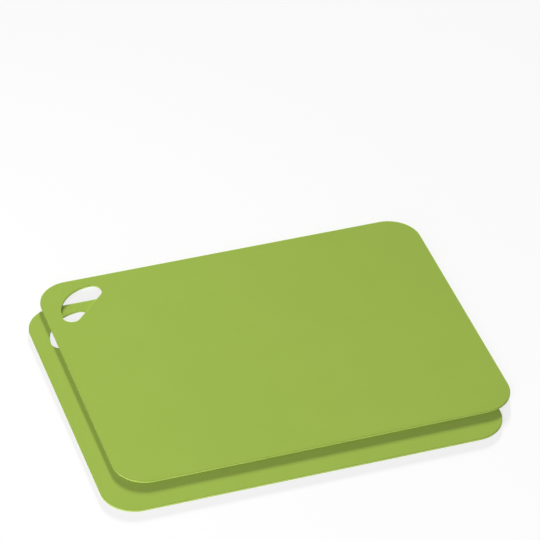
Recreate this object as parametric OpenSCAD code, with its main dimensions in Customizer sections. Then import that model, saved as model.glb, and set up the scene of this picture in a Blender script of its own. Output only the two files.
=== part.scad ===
/* [Mat] */
// Length of a mat, from left to right
mat_length = 380; // [300:5:500]
// Width of a mat, from front to back
mat_width = 290; // [200:5:400]
// Thickness of the sheet
mat_thickness = 1.8; // [1:0.1:4]
// Radius of the mat's four corners
corner_radius = 31; // [10:1:60]

/* [Grip hole] */
// Radius of the hole's curved side, which faces the mat's corner
grip_radius = 39; // [35:0.5:46]
// Distance from the mat's left edge to the centre of that curve
grip_from_left = 54; // [50:0.5:80]
// Distance from the mat's back edge to the centre of that curve
grip_from_back = 51.3; // [48:0.1:80]
// Distance from the centre of that curve to the hole's straight side
grip_straight_side = 13.4; // [9:0.2:17]
// Radius that rounds the hole's two ends
grip_end_radius = 8.8; // [4:0.2:11]
// Turn of the hole, whose straight side cuts across the mat's corner
grip_turn = 45; // [30:1:60]

/* [Stack] */
// How far the upper mat lies to the right of the lower one
stack_right = 20; // [0:1:60]
// How far the upper mat lies behind the lower one
stack_back = 31; // [0:1:60]

/* [Hidden] */
// Smoothness of the round forms
$fn = 96;
// How far a cutting form stands out of each face that it cuts
cut_past = 1;
// Height of the centres of the hole's two end arcs, above the centre of its curved side
grip_end_height = grip_straight_side + grip_end_radius;
// The end arcs touch the curved side from within, which sets how far apart they are
grip_end_reach = sqrt(pow(grip_radius - grip_end_radius, 2) - pow(grip_end_height, 2));
// The two mats stand in the middle of the frame together, so each is moved by half the stack's shift
lower_place = [-stack_right / 2, -stack_back / 2, 0];
upper_place = [stack_right / 2, stack_back / 2, mat_thickness];

// Rectangle with round corners, centred on the origin
module mat_outline() {
    straight_length = mat_length - 2 * corner_radius;
    straight_width = mat_width - 2 * corner_radius;
    square([mat_length, straight_width], center = true);
    square([straight_length, mat_width], center = true);
    for (side = [-1, 1], end = [-1, 1])
        translate([side * straight_length / 2, end * straight_width / 2])
            circle(r = corner_radius);
}

// Half-moon with round ends: the centre of its curved side is at the origin, and the hole lies above it
module grip_outline() {
    // The curved side runs between the lines from its centre through the centres of the end arcs
    spread = 2 * grip_radius / (grip_radius - grip_end_radius);
    intersection() {
        circle(r = grip_radius);
        polygon([
            [-grip_end_reach, grip_end_height],
            [grip_end_reach, grip_end_height],
            [grip_end_reach * spread, grip_end_height * spread],
            [-grip_end_reach * spread, grip_end_height * spread]
        ]);
    }
    translate([-grip_end_reach, grip_straight_side])
        square([2 * grip_end_reach, grip_end_radius]);
    for (side = [-1, 1])
        translate([side * grip_end_reach, grip_end_height])
            circle(r = grip_end_radius);
}

// One mat lying flat, with its underside at height zero and its grip hole at the back left corner
module mat() {
    difference() {
        linear_extrude(height = mat_thickness)
            mat_outline();
        translate([grip_from_left - mat_length / 2, mat_width / 2 - grip_from_back, -cut_past])
            rotate([0, 0, grip_turn])
                linear_extrude(height = mat_thickness + 2 * cut_past)
                    grip_outline();
    }
}

// The mat that lies on the worktop
module lower_mat() {
    color([0.62, 0.72, 0.32])
        translate(lower_place)
            mat();
}

// The mat that lies on it, shifted to the right and back
module upper_mat() {
    color([0.64, 0.74, 0.34])
        translate(upper_place)
            mat();
}

lower_mat();
upper_mat();
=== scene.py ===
import math

import bmesh
import bpy
from mathutils import Matrix, Vector


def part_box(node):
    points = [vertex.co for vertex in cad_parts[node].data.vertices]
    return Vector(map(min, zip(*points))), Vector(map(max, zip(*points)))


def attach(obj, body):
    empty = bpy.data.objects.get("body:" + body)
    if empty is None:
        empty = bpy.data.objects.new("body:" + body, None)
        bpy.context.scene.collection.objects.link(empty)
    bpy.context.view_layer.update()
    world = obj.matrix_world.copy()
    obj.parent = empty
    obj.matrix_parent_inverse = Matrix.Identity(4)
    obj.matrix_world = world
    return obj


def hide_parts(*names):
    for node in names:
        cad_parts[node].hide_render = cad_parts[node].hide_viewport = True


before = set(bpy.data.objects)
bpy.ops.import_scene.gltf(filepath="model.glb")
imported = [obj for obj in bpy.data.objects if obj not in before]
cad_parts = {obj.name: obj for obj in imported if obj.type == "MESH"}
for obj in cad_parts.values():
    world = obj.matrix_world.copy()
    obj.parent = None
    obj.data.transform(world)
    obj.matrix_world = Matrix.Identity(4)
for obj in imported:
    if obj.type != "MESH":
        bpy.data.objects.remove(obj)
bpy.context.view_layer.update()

MM = 0.001

# Forms of a mat that its box doesn't give
CORNER_RADIUS = 31 * MM
GRIP_RADIUS = 39 * MM
GRIP_FROM_LEFT = 54 * MM
GRIP_FROM_BACK = 51.3 * MM
GRIP_STRAIGHT_SIDE = 13.4 * MM
GRIP_END_RADIUS = 8.8 * MM
GRIP_TURN = math.radians(45)

# Broken edge of the sheet, and the flat strip beside it that keeps the face's shading flat
EDGE_BREAK = 0.35 * MM
EDGE_BREAK_STEPS = 4
FLAT_STRIP = 0.6 * MM

# Steps of a round stretch
CORNER_STEPS = 28
GRIP_CURVE_STEPS = 56
GRIP_END_STEPS = 18

# Pigment and surface of the plastic: scale and detail of each noise
CLOUDS = (22, 3)
GRAIN = (1900, 2)
PORES = (620, 3)

# Most of a noise lies between these values
NOISE_RANGE = (0.3, 0.7)

# Least and most that the clouds and the grain each give of the lighter pigment
CLOUD_PIGMENT = (0.2, 0.7)
GRAIN_PIGMENT = (0.0, 0.3)

# Gloss and relief of the plastic, with the pores' height as a share of the grain's
ROUGHNESS = (0.50, 0.62)
REFRACTION = 1.45
SPECULAR_LEVEL = 0.3
PORE_SHARE = 0.6
BUMP_STRENGTH = 0.35
FACE_GRAIN_DEPTH = 0.06 * MM
EDGE_GRAIN_DEPTH = 0.03 * MM

# Colours, linear
FACE_COLOUR = (0.330, 0.465, 0.070, 1)
FACE_COLOUR_DEEP = (0.312, 0.445, 0.063, 1)
# Lighter green of the cut edge: a painted highlight that stands in for light caught by the sheet's edge
EDGE_PAINTED_HIGHLIGHT = (0.500, 0.620, 0.160, 1)
FLOOR_COLOUR = (0.97, 0.97, 0.97, 1)
WHITE = (1, 1, 1, 1)

# Half the floor's side in metres, and how much of what is seen of the floor is plain white
FLOOR_HALF = 30
FLOOR_GLOW = 0.75

# The camera, for a square picture: it looks at a floor point this far from the upper mat's middle
IMAGE_SIDE = 540
FOCAL_PIXELS = 3490
SENSOR_WIDTH = 36
CAMERA_YAW = math.radians(-20.18)
CAMERA_PITCH = math.radians(39.13)
CAMERA_ROLL = math.radians(2.13)
CAMERA_DISTANCE = 3.333
CAMERA_TARGET_FROM_MAT = (0.0352, 0.1096)

# Light that reaches a level surface, in shares of the light that shows a colour as it is written
WORLD_SHARE = 0.24
KEY_SHARE = 0.46
KEY_ELEVATION = math.radians(7.5)
KEY_WIDTH = math.radians(3.5)

# Soft lights: share of that light on a face turned to the lamp, direction to it, distance and size
SIDE_LIGHT = (0.85, (-0.66, -0.71, 0.22), 2.0, 0.9)
TOP_LIGHT = (0.13, (-0.52, 0.44, 0.73), 0.62, 0.4)


def arc(centre, radius, start, sweep, steps):
    """Points on an arc about centre, from the angle start through sweep, both ends included."""
    angles = [start + sweep * k / steps for k in range(steps + 1)]
    return [centre + radius * Vector((math.cos(a), math.sin(a))) for a in angles]


def mat_outline(length, width, inset):
    """Rounded rectangle about the origin, drawn in by inset."""
    radius = CORNER_RADIUS - inset
    reach = Vector((length / 2 - CORNER_RADIUS, width / 2 - CORNER_RADIUS))
    points = []
    for quarter, (side, end) in enumerate([(1, 1), (-1, 1), (-1, -1), (1, -1)]):
        centre = Vector((side * reach.x, end * reach.y))
        points += arc(centre, radius, quarter * math.pi / 2, math.pi / 2, CORNER_STEPS)
    return points


def grip_outline(length, width, growth):
    """Half-moon hole with round ends in the back left corner, grown by growth on every side."""
    end_height = GRIP_STRAIGHT_SIDE + GRIP_END_RADIUS
    end_reach = math.sqrt((GRIP_RADIUS - GRIP_END_RADIUS) ** 2 - end_height**2)
    touch = math.atan2(end_height, end_reach)
    right = Vector((end_reach, end_height))
    left = Vector((-end_reach, end_height))
    end_radius = GRIP_END_RADIUS + growth
    end_sweep = math.pi / 2 + touch
    points = arc(Vector((0, 0)), GRIP_RADIUS + growth, touch, math.pi - 2 * touch, GRIP_CURVE_STEPS)
    points += arc(left, end_radius, math.pi - touch, end_sweep, GRIP_END_STEPS)[1:]
    points += arc(right, end_radius, -math.pi / 2, end_sweep, GRIP_END_STEPS)[:-1]
    centre = Vector((GRIP_FROM_LEFT - length / 2, width / 2 - GRIP_FROM_BACK))
    turn = Matrix.Rotation(GRIP_TURN, 2)
    return [centre + turn @ p for p in points]


def edge_profile(thickness):
    """Steps down the sheet's edge from the top face to the underside: how far in, and how high."""
    top = [(EDGE_BREAK + FLAT_STRIP, thickness)]
    for k in range(EDGE_BREAK_STEPS + 1):
        turn = math.pi / 2 * k / EDGE_BREAK_STEPS
        inward = EDGE_BREAK * (1 - math.sin(turn))
        top.append((inward, thickness - EDGE_BREAK * (1 - math.cos(turn))))
    bottom = [(inward, thickness - height) for inward, height in reversed(top)]
    return top + bottom


def edge_band(bm, outline, profile, centre, outward):
    """Rings of faces round one outline. Returns the first and the last ring, which the flat faces meet."""
    rings = []
    for inward, height in profile:
        points = outline(inward)
        rings.append([bm.verts.new((centre.x + p.x, centre.y + p.y, centre.z + height)) for p in points])
    for upper, lower in zip(rings, rings[1:]):
        for k in range(len(upper)):
            n = (k + 1) % len(upper)
            corners = [upper[k], lower[k], lower[n], upper[n]]
            face = bm.faces.new(corners if outward else corners[::-1])
            face.smooth = True
    return rings[0], rings[-1]


def fill_between(bm, outer, inner, up):
    """A flat face from the outer ring to the inner one."""
    edges = []
    for ring in (outer, inner):
        edges += [bm.edges.get((a, b)) for a, b in zip(ring, ring[1:] + ring[:1])]
    made = bmesh.ops.triangle_fill(bm, use_beauty=True, edges=edges, normal=(0, 0, 1 if up else -1))
    for face in made["geom"]:
        if isinstance(face, bmesh.types.BMFace):
            face.smooth = True
            if (face.normal.z > 0) != up:
                face.normal_flip()


def mark_cut_edges(bm, low, high):
    """The faces whose middle lies between the heights low and high take the second material, whose lighter
    green is a painted highlight on the cut edge.
    """
    for face in bm.faces:
        middle = face.calc_center_median().z
        if low < middle < high:
            face.material_index = 1


def mat_piece(node, name, materials):
    """One mat as a closed mesh with broken edges, in the place of its CAD node."""
    low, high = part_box(node)
    length, width, thickness = high - low
    centre = Vector(((low.x + high.x) / 2, (low.y + high.y) / 2, low.z))
    profile = edge_profile(thickness)
    bm = bmesh.new()
    outer_top, outer_bottom = edge_band(
        bm, lambda inward: mat_outline(length, width, inward), profile, centre, outward=True
    )
    inner_top, inner_bottom = edge_band(
        bm, lambda inward: grip_outline(length, width, inward), profile, centre, outward=False
    )
    for face in bm.faces:
        face.normal_update()
    fill_between(bm, outer_top, inner_top, up=True)
    fill_between(bm, outer_bottom, inner_bottom, up=False)
    mark_cut_edges(bm, low.z + EDGE_BREAK / 2, high.z - EDGE_BREAK / 2)
    mesh = bpy.data.meshes.new(name)
    bm.to_mesh(mesh)
    bm.free()
    for material in materials:
        mesh.materials.append(material)
    piece = bpy.data.objects.new(name, mesh)
    bpy.context.scene.collection.objects.link(piece)
    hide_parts(node)
    return piece


def new_material(name):
    """A new material, with its nodes, its links and its main shader."""
    material = bpy.data.materials.new(name)
    material.use_nodes = True
    nodes = material.node_tree.nodes
    shader = nodes.get("Principled BSDF")
    return material, nodes, material.node_tree.links, shader


def noise(nodes, links, coordinates, scale, detail):
    """A noise that is fixed to the object, with scale in features a metre."""
    node = nodes.new("ShaderNodeTexNoise")
    node.inputs["Scale"].default_value = scale
    node.inputs["Detail"].default_value = detail
    links.new(coordinates.outputs["Object"], node.inputs["Vector"])
    return node


def spread(nodes, links, source, low, high):
    """The source's usual values, stretched to run from low to high."""
    node = nodes.new("ShaderNodeMapRange")
    node.inputs["From Min"].default_value = NOISE_RANGE[0]
    node.inputs["From Max"].default_value = NOISE_RANGE[1]
    node.inputs["To Min"].default_value = low
    node.inputs["To Max"].default_value = high
    links.new(source.outputs["Fac"], node.inputs["Value"])
    return node


def plastic(name, colour, deep_colour, grain_depth):
    """Matte moulded plastic: cloudy pigment, a fine even grain, and a gloss that varies a little."""
    material, nodes, links, shader = new_material(name)
    coordinates = nodes.new("ShaderNodeTexCoord")
    clouds = noise(nodes, links, coordinates, *CLOUDS)
    grain = noise(nodes, links, coordinates, *GRAIN)
    pores = noise(nodes, links, coordinates, *PORES)

    pigment = nodes.new("ShaderNodeMix")
    pigment.data_type = "RGBA"
    pigment.inputs["A"].default_value = deep_colour
    pigment.inputs["B"].default_value = colour
    amount = nodes.new("ShaderNodeMath")
    amount.operation = "ADD"
    links.new(spread(nodes, links, clouds, *CLOUD_PIGMENT).outputs["Result"], amount.inputs[0])
    links.new(spread(nodes, links, grain, *GRAIN_PIGMENT).outputs["Result"], amount.inputs[1])
    links.new(amount.outputs["Value"], pigment.inputs["Factor"])
    links.new(pigment.outputs["Result"], shader.inputs["Base Color"])
    links.new(spread(nodes, links, pores, *ROUGHNESS).outputs["Result"], shader.inputs["Roughness"])

    height = nodes.new("ShaderNodeMath")
    height.operation = "MULTIPLY_ADD"
    height.inputs[1].default_value = PORE_SHARE
    links.new(pores.outputs["Fac"], height.inputs[0])
    links.new(grain.outputs["Fac"], height.inputs[2])
    bump = nodes.new("ShaderNodeBump")
    bump.inputs["Strength"].default_value = BUMP_STRENGTH
    bump.inputs["Distance"].default_value = grain_depth
    links.new(height.outputs["Value"], bump.inputs["Height"])
    links.new(bump.outputs["Normal"], shader.inputs["Normal"])

    shader.inputs["IOR"].default_value = REFRACTION
    shader.inputs["Specular IOR Level"].default_value = SPECULAR_LEVEL
    return material


def seen_directly(nodes, links):
    """1 for rays from the camera, reflections and see-through rays, and 0 for light that falls on things."""
    path = nodes.new("ShaderNodeLightPath")
    result = path.outputs["Is Camera Ray"]
    for name in ("Is Glossy Ray", "Is Transmission Ray"):
        node = nodes.new("ShaderNodeMath")
        node.operation = "MAXIMUM"
        links.new(result, node.inputs[0])
        links.new(path.outputs[name], node.inputs[1])
        result = node.outputs["Value"]
    return result


def make_world():
    """White where it is seen or reflected, and a weaker even light elsewhere."""
    world = bpy.data.worlds.new("studio")
    bpy.context.scene.world = world
    world.use_nodes = True
    nodes = world.node_tree.nodes
    links = world.node_tree.links
    background = nodes.get("Background")
    background.inputs["Color"].default_value = WHITE
    seen = seen_directly(nodes, links)
    strength = nodes.new("ShaderNodeMapRange")
    strength.inputs["To Min"].default_value = WORLD_SHARE
    strength.inputs["To Max"].default_value = 1
    links.new(seen, strength.inputs["Value"])
    links.new(strength.outputs["Result"], background.inputs["Strength"])


def floor_material():
    """FLOOR_GLOW of what is seen of the floor is plain white, and the rest shows the object's shadow."""
    material, nodes, links, shader = new_material("floor_white")
    nodes.remove(shader)
    diffuse = nodes.new("ShaderNodeBsdfDiffuse")
    diffuse.inputs["Color"].default_value = FLOOR_COLOUR
    glow = nodes.new("ShaderNodeEmission")
    glow.inputs["Color"].default_value = WHITE
    seen = seen_directly(nodes, links)
    share = nodes.new("ShaderNodeMath")
    share.operation = "MULTIPLY"
    share.inputs[1].default_value = FLOOR_GLOW
    links.new(seen, share.inputs[0])
    mix = nodes.new("ShaderNodeMixShader")
    links.new(share.outputs["Value"], mix.inputs["Fac"])
    links.new(diffuse.outputs["BSDF"], mix.inputs[1])
    links.new(glow.outputs["Emission"], mix.inputs[2])
    links.new(mix.outputs["Shader"], nodes.get("Material Output").inputs["Surface"])
    return material


def make_floor():
    """A wide white floor, level with the lower mat's underside."""
    corners = [(FLOOR_HALF * x, FLOOR_HALF * y, 0) for x, y in [(-1, -1), (1, -1), (1, 1), (-1, 1)]]
    mesh = bpy.data.meshes.new("floor")
    mesh.from_pydata(corners, [], [(0, 1, 2, 3)])
    mesh.materials.append(floor_material())
    floor = bpy.data.objects.new("floor", mesh)
    bpy.context.scene.collection.objects.link(floor)


def aim(lamp, direction):
    """The lamp shines away from direction, so it lights what lies on its other side."""
    lamp.rotation_mode = "QUATERNION"
    lamp.rotation_quaternion = Vector(direction).to_track_quat("Z", "Y")


def make_key():
    """Low soft light from behind the object, which casts the upper mat's shadow towards the camera."""
    light = bpy.data.lights.new("key", "SUN")
    light.energy = KEY_SHARE * math.pi / math.sin(KEY_ELEVATION)
    light.angle = KEY_WIDTH
    lamp = bpy.data.objects.new("key", light)
    lamp.visible_glossy = False
    bpy.context.scene.collection.objects.link(lamp)
    level = Vector((-math.sin(CAMERA_YAW), math.cos(CAMERA_YAW), 0)) * math.cos(KEY_ELEVATION)
    aim(lamp, level + Vector((0, 0, math.sin(KEY_ELEVATION))))


def make_soft_light(name, share, direction, distance, size):
    """A square lamp that gives share of full light to a face at the origin that is turned to it."""
    light = bpy.data.lights.new(name, "AREA")
    light.energy = share * (math.pi * distance) ** 2
    light.size = size
    lamp = bpy.data.objects.new(name, light)
    bpy.context.scene.collection.objects.link(lamp)
    direction = Vector(direction).normalized()
    lamp.location = direction * distance
    aim(lamp, direction)


def make_camera():
    """The camera at the photograph's viewing angle."""
    low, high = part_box("upper_mat")
    middle = (low + high) / 2
    target = Vector((middle.x + CAMERA_TARGET_FROM_MAT[0], middle.y + CAMERA_TARGET_FROM_MAT[1], 0))
    right = Vector((math.cos(CAMERA_YAW), math.sin(CAMERA_YAW), 0))
    back = Vector(
        (
            math.sin(CAMERA_YAW) * math.cos(CAMERA_PITCH),
            -math.cos(CAMERA_YAW) * math.cos(CAMERA_PITCH),
            math.sin(CAMERA_PITCH),
        )
    )
    level = Matrix((right, back.cross(right), back)).transposed()
    data = bpy.data.cameras.new("camera")
    data.sensor_width = SENSOR_WIDTH
    data.lens = FOCAL_PIXELS / IMAGE_SIDE * SENSOR_WIDTH
    camera = bpy.data.objects.new("camera", data)
    bpy.context.scene.collection.objects.link(camera)
    turned = level @ Matrix.Rotation(CAMERA_ROLL, 3, "Z")
    camera.matrix_world = Matrix.Translation(target + back * CAMERA_DISTANCE) @ turned.to_4x4()
    bpy.context.scene.camera = camera


def make_mats():
    """The two mats, each on its own body, sharing one face material and one edge material whose lighter
    green is a painted highlight.
    """
    face = plastic("green_plastic_face", FACE_COLOUR, FACE_COLOUR_DEEP, FACE_GRAIN_DEPTH)
    # The edge plastic runs from the face green to a lighter green: a painted highlight along the cut edge
    edge = plastic("green_plastic_edge_painted_highlight", EDGE_PAINTED_HIGHLIGHT, FACE_COLOUR, EDGE_GRAIN_DEPTH)
    for node in ("lower_mat", "upper_mat"):
        piece = mat_piece(node, node + "_sheet", [face, edge])
        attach(piece, node)


make_camera()
make_mats()
make_world()
make_floor()
make_key()
make_soft_light("side_light", *SIDE_LIGHT)
make_soft_light("top_light", *TOP_LIGHT)
bpy.context.scene.view_settings.view_transform = "Standard"
